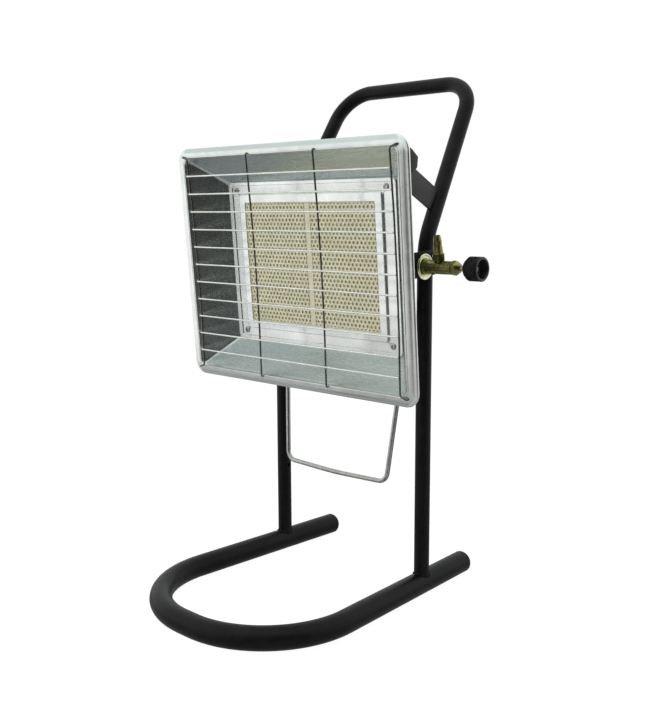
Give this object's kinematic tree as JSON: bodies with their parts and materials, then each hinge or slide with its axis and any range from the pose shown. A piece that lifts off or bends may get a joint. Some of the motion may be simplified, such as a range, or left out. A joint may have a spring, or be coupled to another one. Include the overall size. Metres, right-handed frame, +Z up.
{
  "type": "portable propane radiant heater",
  "caption": "Portable gas radiant heater: a rectangular reflector head with a wire guard and ceramic burner tilts on a bent black tube stand with a carrying handle.",
  "frame": {"origin": "middle of the overall box, on the floor that the stand rests on", "axes": "+Z up, -Y the side that radiates heat, +X the side of the gas valve"},
  "size_m": [0.3636, 0.3746, 0.5794],
  "materials": {
    "tube_black": "satin black powder coat",
    "plug_black": "matte black moulded plastic",
    "reflector_steel": "aluminised sheet, dull silver",
    "bright_wire": "bright drawn wire",
    "dark_wire": "dulled drawn wire",
    "bezel_steel": "galvanised sheet",
    "zinc": "zinc plated",
    "ceramic": "unglazed cream ceramic",
    "fibre": "white ceramic fibre",
    "pan_steel": "aluminised sheet",
    "bracket_black": "satin black paint",
    "brass": "dull machined brass",
    "knob_black": "matte black moulded plastic",
    "washer_fibre": "brown pressed fibre",
    "bail_steel": "bright zinc plated rod"
  },
  "bodies": {
    "stand": {"base_tube": "tube_black", "end_plugs": "plug_black", "upright_tube": "tube_black", "left_strap": "tube_black", "right_strap": "tube_black"},
    "head": {"reflector": "reflector_steel", "guard_uprights": "dark_wire", "guard_crosswires": "bright_wire", "bezel": "bezel_steel", "bezel_screws": "zinc", "bezel_nuts": "zinc", "left_plaque": "ceramic", "right_plaque": "ceramic", "plaque_gasket": "fibre", "burner_pan": "pan_steel", "baffle_plate": "pan_steel", "mixing_tube": "pan_steel", "left_ear": "bracket_black", "right_ear": "bracket_black", "ear_rivets": "zinc", "pivot_bolts": "zinc", "friction_washers": "washer_fibre", "knob_washers": "zinc", "valve_bracket": "bracket_black", "bracket_rivets": "zinc", "plate_screw": "zinc", "injector": "brass", "seat_washer": "brass", "valve_body": "brass", "hose_nipple": "brass", "gland_nut": "brass", "bail_lugs": "bracket_black", "lug_rivets": "zinc"},
    "gas_control": {"valve_spindle": "brass", "gas_knob": "knob_black", "knob_screw": "zinc"},
    "left_clamp": {"left_clamp_knob": "knob_black", "left_knob_insert": "brass"},
    "right_clamp": {"right_clamp_knob": "knob_black", "right_knob_insert": "brass"},
    "bail": {"bail": "bail_steel"}
  },
  "joints": [
    {"name": "head_tilt", "type": "hinge", "parent": "stand", "child": "head", "pos_m": [-0.01205, 0.03005, 0.47705], "axis": [-1, 0, 0], "range_deg": [0, 30]},
    {"name": "gas_knob_turn", "type": "hinge", "parent": "head", "child": "gas_control", "pos_m": [0.15895, 0.05552, 0.36881], "axis": [1, 0, 0], "range_deg": [0, 300]},
    {"name": "left_clamp_turn", "type": "hinge", "parent": "head", "child": "left_clamp", "pos_m": [-0.12505, 0.03005, 0.47705], "axis": [-1, 0, 0], "range_deg": [0, 360]},
    {"name": "right_clamp_turn", "type": "hinge", "parent": "head", "child": "right_clamp", "pos_m": [0.10095, 0.03005, 0.47705], "axis": [1, 0, 0], "range_deg": [0, 360]},
    {"name": "bail_swing", "type": "hinge", "parent": "head", "child": "bail", "pos_m": [-0.01205, 0.06655, 0.32304], "axis": [1, 0, 0], "range_deg": [-10, 80]}
  ]
}
